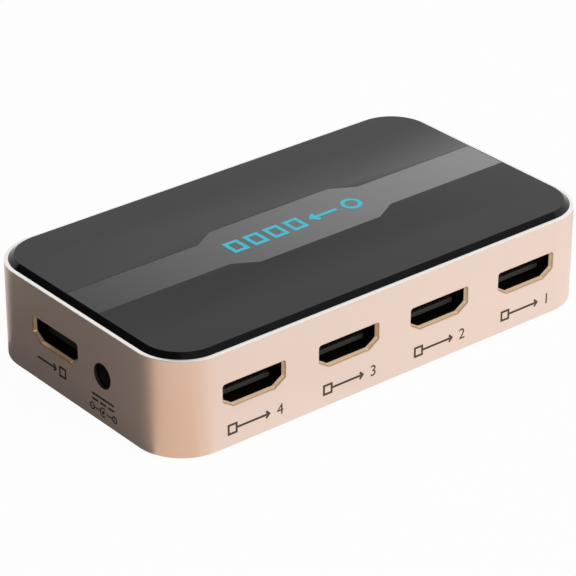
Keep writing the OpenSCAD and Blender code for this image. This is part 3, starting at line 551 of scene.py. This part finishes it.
def ink_ring(shape, u, v, radius, stroke, arc=2 * math.pi, start=0.0):
    """A printed circle or arc whose stroke is centred on the radius."""
    inner, outer = radius - stroke / 2, radius + stroke / 2
    corners = [(inner, 0), (outer, 0), (outer, print_t), (inner, print_t)]
    turn = Matrix.Rotation(start, 4, "Z")
    section = [shape.verts.new(Vector((u, v, 0)) + turn @ Vector((x, 0, z))) for x, z in corners]
    face = shape.faces.new(section)
    whole = arc == 2 * math.pi
    bmesh.ops.spin(shape, geom=[face] + list(face.edges) + section, cent=(u, v, 0), axis=(0, 0, 1),
                   angle=arc, steps=ring_steps, use_merge=whole)
    if whole:
        bmesh.ops.delete(shape, geom=[face], context="FACES_ONLY")


def ink_arrow(shape, start_u, end_u, stroke, head):
    """A level arrow from start_u to end_u, with an open head at 45 degrees."""
    slant = stroke * math.sqrt(0.5)
    upper = [(start_u, stroke / 2), (end_u - 2 * slant - stroke / 2, stroke / 2),
             (end_u - head - slant, head - slant), (end_u - head, head)]
    ink_patch(shape, upper + [(end_u, 0)] + [(u, -v) for u, v in reversed(upper)])


def ink_frame(shape, u, width, height, stroke):
    """A printed rectangle of four strokes, centred on (u, 0)."""
    for side in (-1, 1):
        ink_bar(shape, u, side * (height - stroke) / 2, width, stroke)
        ink_bar(shape, u + side * (width - stroke) / 2, 0, stroke, height - 2 * stroke)


def ink_numeral(shape, number, u, height):
    """A plain numeral centred on (u, 0)."""
    words = bpy.data.curves.new("numeral", "FONT")
    words.body = str(number)
    words.size = height / numeral_share
    words.align_x = "CENTER"
    words.extrude = print_t / 2
    holder = bpy.data.objects.new("numeral", words)
    bpy.context.scene.collection.objects.link(holder)
    flat = shown_mesh(holder)
    flat.transform(Matrix.Translation((u, -height / 2, print_t / 2)))
    shape.from_mesh(flat)
    bpy.data.objects.remove(holder)
    bpy.data.curves.remove(words)
    bpy.data.meshes.remove(flat)


def print_on(shape, name, place, u_way, v_way, material):
    """Puts printed marks on a surface whose right and up are u_way and v_way."""
    out = u_way.cross(v_way)
    turn = Matrix((u_way, v_way, out)).transposed().to_4x4()
    bmesh.ops.transform(shape, matrix=Matrix.Translation(place) @ turn, verts=shape.verts)
    piece = finish_mesh(shape, name)
    piece.data.materials.append(material)
    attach(piece, "root")


def print_ink(name, first, second):
    """Screen printing ink: two near tones with a slightly uneven surface."""
    return grained_finish(name, first, second, cells=4000, detail=2, smooth=0.45, rough=0.6)[0]


brown_ink = print_ink("brown_print_ink", (0.045, 0.024, 0.013), (0.065, 0.036, 0.021))
right_way, left_way, up_way = Vector((1, 0, 0)), Vector((0, -1, 0)), Vector((0, 0, 1))
front_y = case_low.y + print_t
end_x = case_low.x + print_t
output_frame_u = -5.5 * mm
output_arrow_u = (-4.35 * mm, 3.4 * mm)
numeral_u = 5.7 * mm
output_mark_shift = 0.35 * mm
output_mark_z = case_low.z + 3.6 * mm
for number, name in enumerate(outputs, 1):
    marks = bmesh.new()
    ink_frame(marks, output_frame_u, mark_h, mark_h, mark_stroke)
    ink_arrow(marks, *output_arrow_u, mark_stroke, mark_head)
    ink_numeral(marks, number, numeral_u, mark_h)
    place = Vector((socket_places[name][0].x + output_mark_shift, front_y, output_mark_z))
    print_on(marks, name + "_mark", place, right_way, up_way, brown_ink)

input_arrow_u = (-4.6 * mm, 1.7 * mm)
input_frame_u = 3.5 * mm
input_mark_shift = 1.3 * mm
input_mark_z = case_low.z + 5.15 * mm
marks = bmesh.new()
ink_arrow(marks, *input_arrow_u, mark_stroke, mark_head)
ink_frame(marks, input_frame_u, mark_h, mark_h, mark_stroke)
place = Vector((end_x, input_y + input_mark_shift, input_mark_z))
print_on(marks, "input_mark", place, left_way, up_way, brown_ink)

line_v = 0.65 * mm
dash_v = -0.45 * mm
dash_w = 1.8 * mm
dash_pitch = 2.5 * mm
pole_u = 3.5 * mm
pole_v = -2.2 * mm
pole_r = 0.64 * mm
sleeve_r = 0.9 * mm
sleeve_arc = math.radians(250)
sleeve_start = math.radians(55)
dot_r = 0.4 * mm
sign_w = 0.6 * mm
sign_stroke = fine_stroke / 2
power_mark_z = case_low.z + 4.6 * mm
marks = bmesh.new()
ink_bar(marks, 0, line_v, 2 * dash_pitch + dash_w, mark_stroke)
for step in (-1, 0, 1):
    ink_bar(marks, step * dash_pitch, dash_v, dash_w, mark_stroke)
link_w = pole_u - pole_r - sleeve_r - fine_stroke
for side in (-1, 1):
    ink_ring(marks, side * pole_u, pole_v, pole_r, fine_stroke)
    ink_bar(marks, side * (pole_u - pole_r - fine_stroke / 2 - link_w / 2), pole_v, link_w, fine_stroke)
    ink_bar(marks, side * pole_u, pole_v, sign_w, sign_stroke)
    ink_bar(marks, pole_u, pole_v + side * (sign_w + sign_stroke) / 4, sign_stroke,
            (sign_w - sign_stroke) / 2)
ink_ring(marks, 0, pole_v, sleeve_r, fine_stroke, sleeve_arc, sleeve_start)
dot = bmesh.ops.create_cone(marks, cap_ends=True, segments=24, radius1=dot_r, radius2=dot_r,
                            depth=print_t)["verts"]
bmesh.ops.translate(marks, vec=(0, pole_v, print_t / 2), verts=dot)
place = Vector((end_x, jack_axis.y, power_mark_z))
print_on(marks, "power_mark", place, left_way, up_way, brown_ink)

# Panel print: a pale blue pictogram of one source that feeds four screens, a ring, an arrow and
# four frames in a row, screen printed on the stripe's broad middle.
panel_stroke = 0.85 * mm
sign_h = 4.4 * mm
source_u = -14.2 * mm
panel_arrow_u = (-10.4 * mm, -3.4 * mm)
panel_head = 1.6 * mm
screen_w = 3.6 * mm
screen_pitch = 4.9 * mm
blue_ink = print_ink("blue_print_ink", (0.04, 0.62, 0.80), (0.05, 0.70, 0.88))
marks = bmesh.new()
ink_ring(marks, source_u, 0, (sign_h - panel_stroke) / 2, panel_stroke)
ink_arrow(marks, *panel_arrow_u, panel_stroke, panel_head)
for step in range(len(outputs)):
    ink_frame(marks, step * screen_pitch, screen_w, sign_h, panel_stroke)
place = Vector((stripe_mid_x, 0, stripe_top))
print_on(marks, "panel_mark", place, Vector((-1, 0, 0)), Vector((0, -1, 0)), blue_ink)

# Studio: a pale floor that runs to a white surround, which is also a weak fill, one soft key lamp
# at the front right, cards that only reflections see, and a camera at the photograph's place.
floor_reach = 4
floor_grey = (0.7, 0.7, 0.7, 1)
floor_roughness = 0.9
floor_glow = 0.97
fill_strength = 0.45
floor_shape = bmesh.new()
bmesh.ops.create_grid(floor_shape, x_segments=2, y_segments=2, size=floor_reach)
floor_piece = finish_mesh(floor_shape, "floor")
pale, nodes, links, shader = start_finish("pale_floor")
shader.inputs["Base Color"].default_value = floor_grey
shader.inputs["Roughness"].default_value = floor_roughness


def seen_rays(nodes, links):
    """1 on rays from the camera and on those that mirrors and glass send on."""
    path = nodes.new("ShaderNodeLightPath")
    first = nodes.new("ShaderNodeMath")
    first.operation = "MAXIMUM"
    links.new(path.outputs["Is Camera Ray"], first.inputs[0])
    links.new(path.outputs["Is Glossy Ray"], first.inputs[1])
    both = nodes.new("ShaderNodeMath")
    both.operation = "MAXIMUM"
    links.new(first.outputs["Value"], both.inputs[0])
    links.new(path.outputs["Is Transmission Ray"], both.inputs[1])
    return both.outputs["Value"]


glow = nodes.new("ShaderNodeEmission")
share = nodes.new("ShaderNodeMath")
share.operation = "MULTIPLY"
share.inputs[1].default_value = floor_glow
links.new(seen_rays(nodes, links), share.inputs[0])
blend = nodes.new("ShaderNodeMixShader")
links.new(share.outputs["Value"], blend.inputs["Fac"])
links.new(shader.outputs["BSDF"], blend.inputs[1])
links.new(glow.outputs["Emission"], blend.inputs[2])
links.new(blend.outputs["Shader"], nodes["Material Output"].inputs["Surface"])
floor_piece.data.materials.append(pale)

surround = bpy.data.worlds.new("white_surround")
surround.use_nodes = True
bpy.context.scene.world = surround
nodes, links = surround.node_tree.nodes, surround.node_tree.links
backdrop = nodes["Background"]
backdrop.inputs["Color"].default_value = (1, 1, 1, 1)
strength = add_range(nodes, links, seen_rays(nodes, links), low=fill_strength, high=1, start=0, end=1)
links.new(strength, backdrop.inputs["Strength"])

key_place = Vector((0.35, -0.75, 0.55))
key_aim = Vector((0, 0, 0.01))
key = bpy.data.lights.new("key", "AREA")
key.size = 0.5
key.energy = 5
key.color = (1, 0.97, 0.94)
key_holder = bpy.data.objects.new("key", key)
key_holder.location = key_place
key_holder.rotation_euler = (key_aim - key_place).to_track_quat("-Z", "Y").to_euler()
key_holder.visible_glossy = False
bpy.context.scene.collection.objects.link(key_holder)


def studio_card(name, colour, *corners):
    """A card of one colour that is only seen in reflections."""
    shape = bmesh.new()
    shape.faces.new([shape.verts.new(corner) for corner in corners])
    card = finish_mesh(shape, name)
    material, nodes, links, shader = start_finish(name)
    shader.inputs["Base Color"].default_value = (0, 0, 0, 1)
    shader.inputs["Specular IOR Level"].default_value = 0
    shader.inputs["Emission Color"].default_value = (*colour, 1)
    shader.inputs["Emission Strength"].default_value = 1
    card.data.materials.append(material)
    card.visible_camera = False
    card.visible_diffuse = False
    card.visible_transmission = False
    card.visible_shadow = False


def level_card(name, colour, height, *corners):
    """A studio card that lies level at a height, with corners (x, y)."""
    studio_card(name, colour, *[(x, y, height) for x, y in corners])


# The cards glow in these colours, so each is a painted reflection: black and brown-black paint dark
# reflections overhead and along the left side, dusk a grey one overhead at the front, peach and pale peach
# the rose gradient round the near corner, and cool a cool grey along the right.
black = (0.01, 0.01, 0.01)
brown_black = (0.04, 0.037, 0.034)
dusk = (0.35, 0.35, 0.35)
peach = (0.78, 0.59, 0.44)
pale_peach = (0.88, 0.75, 0.63)
cool = (0.62, 0.63, 0.68)

over_z = 0.35
over_left, over_mid, over_right = -0.36, 0.1, 0.38
over_front, over_split, over_rear = -0.25, -0.11, 0.56
level_card("front_overhead_card", dusk, over_z, (over_left, over_front), (over_right, over_front),
           (over_right, over_split), (over_left, over_split))
level_card("left_overhead_card", black, over_z, (over_left, over_split), (over_mid, over_split),
           (over_mid, over_rear), (over_left, over_rear))

floor_card_z = 0.0005
flag_z = 0.04
side_left, side_right = -0.085, -0.04
side_front, side_rear = -0.0162, 0.07
under_front, under_rear = -0.0244, 0.0297
under_corner = (-0.0458, under_front)
rear_inner, rear_outer = (-0.0525, under_rear), (-0.0575, side_rear)
level_card("side_card", brown_black, floor_card_z, under_corner, (side_right, under_front),
           (side_right, under_rear), rear_inner, rear_outer, (side_left, side_rear), (side_left, side_front))
studio_card("side_flag", black, (side_left, side_front, floor_card_z), (side_left, side_rear, floor_card_z),
            (side_left, side_rear, flag_z), (side_left, side_front, flag_z))

# Painted reflection: peach glowing cards before the near corner give its rose gradient.
corner_left, corner_front = -0.14, -0.12
corner_rear = (corner_left, -0.0047)
corner_split, corner_right = (-0.055, corner_front), (-0.0058, corner_front)
level_card("corner_card", peach, floor_card_z, under_corner, corner_rear, (corner_left, corner_front),
           corner_split)
level_card("pale_corner_card", pale_peach, floor_card_z, under_corner, corner_split, corner_right)

# Painted reflection: a cool grey glowing card along the right side.
right_near, right_far = 0.054, 0.13
right_front, right_rear = -0.02, 0.10
level_card("right_card", cool, floor_card_z, (right_near, right_front), (right_far, right_front),
           (right_far, right_rear), (right_near, right_rear))

camera_place = Vector((-0.306947, -0.371821, 0.267714))
turn, tilt, roll = math.radians(39.4), math.radians(28.299), math.radians(-0.154)
ahead = Vector((math.sin(turn) * math.cos(tilt), math.cos(turn) * math.cos(tilt), -math.sin(tilt)))
level = Vector((math.cos(turn), -math.sin(turn), 0))
down = ahead.cross(level)
right = math.cos(roll) * level + math.sin(roll) * down
up = math.sin(roll) * level - math.cos(roll) * down
lens = bpy.data.cameras.new("camera")
lens.sensor_width = 36
lens.lens = 174.42
lens.clip_start = 0.01
camera = bpy.data.objects.new("camera", lens)
facing = Matrix((right, up, -ahead)).transposed().to_4x4()
camera.matrix_world = Matrix.Translation(camera_place) @ facing
bpy.context.scene.collection.objects.link(camera)
bpy.context.scene.camera = camera
bpy.context.scene.view_settings.view_transform = "Standard"
